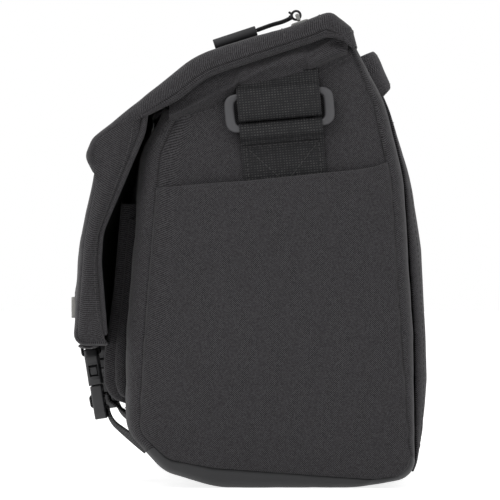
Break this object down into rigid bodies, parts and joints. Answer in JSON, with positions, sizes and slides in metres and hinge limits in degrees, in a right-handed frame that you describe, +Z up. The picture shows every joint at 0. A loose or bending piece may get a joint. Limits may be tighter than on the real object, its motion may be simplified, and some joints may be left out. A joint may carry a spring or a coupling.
{
  "type": "flap-top shoulder bag",
  "caption": "Flap-top shoulder bag in dark woven cloth: stuffed front flap held by side-release buckles, zip in the lid, end pockets, strap rings, back slip pocket and grab handle.",
  "frame": {"origin": "on the flat underside of the base panel, midway between the end panels and under the middle of their base line", "axes": "+X along the bag's width towards its right end as seen from the back, +Y from the flap's front to the back panel, +Z up"},
  "size_m": [0.3988, 0.2173, 0.289],
  "materials": {
    "shell_fabric": "matte woven",
    "lining_fabric": "matte woven",
    "coated_base_fabric": "smooth coated",
    "strap_webbing": "ribbed weave",
    "buckle_plastic": "fine texture",
    "ring_plastic": "fine texture",
    "zip_slider_metal": "satin",
    "pull_rubber": "matte",
    "pull_cord": "braided",
    "label_tape": "woven tape",
    "stiffener_board": "plain"
  },
  "bodies": {
    "bag": {"front_panel": "shell_fabric", "base_panel": "coated_base_fabric", "back_panel": "shell_fabric", "end_panel_right": "shell_fabric", "end_panel_left": "shell_fabric", "end_collar_right": "lining_fabric", "end_collar_left": "lining_fabric", "side_pocket_right": "shell_fabric", "side_pocket_left": "shell_fabric", "front_pocket": "shell_fabric", "front_pocket_gusset_right": "shell_fabric", "front_pocket_gusset_left": "shell_fabric", "back_pocket": "shell_fabric", "base_board": "stiffener_board", "laptop_divider": "lining_fabric", "anchor_webbing_right": "strap_webbing", "anchor_webbing_left": "strap_webbing", "shoulder_strap_right": "strap_webbing", "shoulder_strap_left": "strap_webbing", "shoulder_strap_folds": "strap_webbing", "strap_adjuster": "buckle_plastic", "strap_adjuster_bar": "buckle_plastic"},
    "flap": {"flap_lid": "shell_fabric", "flap_backing": "lining_fabric", "flap_front": "shell_fabric", "flap_side_right": "shell_fabric", "flap_side_left": "shell_fabric", "lid_zip_tape": "strap_webbing", "lid_zip_coil": "strap_webbing", "buckle_socket_right": "buckle_plastic", "buckle_socket_left": "buckle_plastic", "flap_tab_right": "strap_webbing", "flap_tab_left": "strap_webbing", "woven_label": "label_tape"},
    "zip_slider": {"zip_slider": "zip_slider_metal", "zip_slider_bail": "zip_slider_metal"},
    "zip_pull": {"pull_cord": "pull_cord", "pull_tube": "pull_rubber"},
    "ring_right": {"strap_ring_right": "ring_plastic", "strap_end_right": "strap_webbing"},
    "ring_left": {"strap_ring_left": "ring_plastic", "strap_end_left": "strap_webbing"},
    "handle": {"grab_handle": "shell_fabric"},
    "strap_plug_right": {"buckle_plug_right": "buckle_plastic", "front_strap_right": "strap_webbing"},
    "strap_plug_left": {"buckle_plug_left": "buckle_plastic", "front_strap_left": "strap_webbing"},
    "prong_right_outer": {"plug_prong_right_outer": "buckle_plastic"},
    "prong_right_inner": {"plug_prong_right_inner": "buckle_plastic"},
    "prong_left_outer": {"plug_prong_left_outer": "buckle_plastic"},
    "prong_left_inner": {"plug_prong_left_inner": "buckle_plastic"}
  },
  "joints": [
    {"name": "flap_hinge", "type": "hinge", "parent": "bag", "child": "flap", "pos_m": [0, 0.0485, 0.2664], "axis": [-1, 0, 0], "range_deg": [0, 100]},
    {"name": "zip_slide", "type": "slide", "parent": "flap", "child": "zip_slider", "axis": [-1, 0, 0], "range_m": [0, 0.323]},
    {"name": "pull_swing", "type": "hinge", "parent": "zip_slider", "child": "zip_pull", "pos_m": [0.162, 0.01294, 0.28582], "axis": [-1, 0, 0], "range_deg": [0, 150]},
    {"name": "handle_raise", "type": "hinge", "parent": "bag", "child": "handle", "pos_m": [0, 0.0511, 0.263], "axis": [-1, 0, 0], "range_deg": [-80, 0]},
    {"name": "ring_tilt_right", "type": "hinge", "parent": "bag", "child": "ring_right", "pos_m": [0.1947, 0.003, 0.21706], "axis": [0, 0.9962, 0.0872], "range_deg": [0, 30]},
    {"name": "ring_tilt_left", "type": "hinge", "parent": "bag", "child": "ring_left", "pos_m": [-0.1947, 0.003, 0.21706], "axis": [0, -0.9962, -0.0872], "range_deg": [0, 30]},
    {"name": "buckle_release_right", "type": "slide", "parent": "bag", "child": "strap_plug_right", "axis": [0, 0.1564, -0.9877], "range_m": [0, 0.026]},
    {"name": "prong_squeeze_right_outer", "type": "hinge", "parent": "strap_plug_right", "child": "prong_right_outer", "pos_m": [0.12122, -0.11042, 0.06188], "axis": [0, -0.9877, -0.1564], "range_deg": [0, 8], "stiffness_Nm_per_rad": 0.3},
    {"name": "prong_squeeze_right_inner", "type": "hinge", "parent": "strap_plug_right", "child": "prong_right_inner", "pos_m": [0.09878, -0.11042, 0.06188], "axis": [0, 0.9877, 0.1564], "range_deg": [0, 8], "stiffness_Nm_per_rad": 0.3},
    {"name": "buckle_release_left", "type": "slide", "parent": "bag", "child": "strap_plug_left", "axis": [0, 0.1564, -0.9877], "range_m": [0, 0.026]},
    {"name": "prong_squeeze_left_outer", "type": "hinge", "parent": "strap_plug_left", "child": "prong_left_outer", "pos_m": [-0.12122, -0.11042, 0.06188], "axis": [0, 0.9877, 0.1564], "range_deg": [0, 8], "stiffness_Nm_per_rad": 0.3},
    {"name": "prong_squeeze_left_inner", "type": "hinge", "parent": "strap_plug_left", "child": "prong_left_inner", "pos_m": [-0.09878, -0.11042, 0.06188], "axis": [0, -0.9877, -0.1564], "range_deg": [0, 8], "stiffness_Nm_per_rad": 0.3}
  ]
}
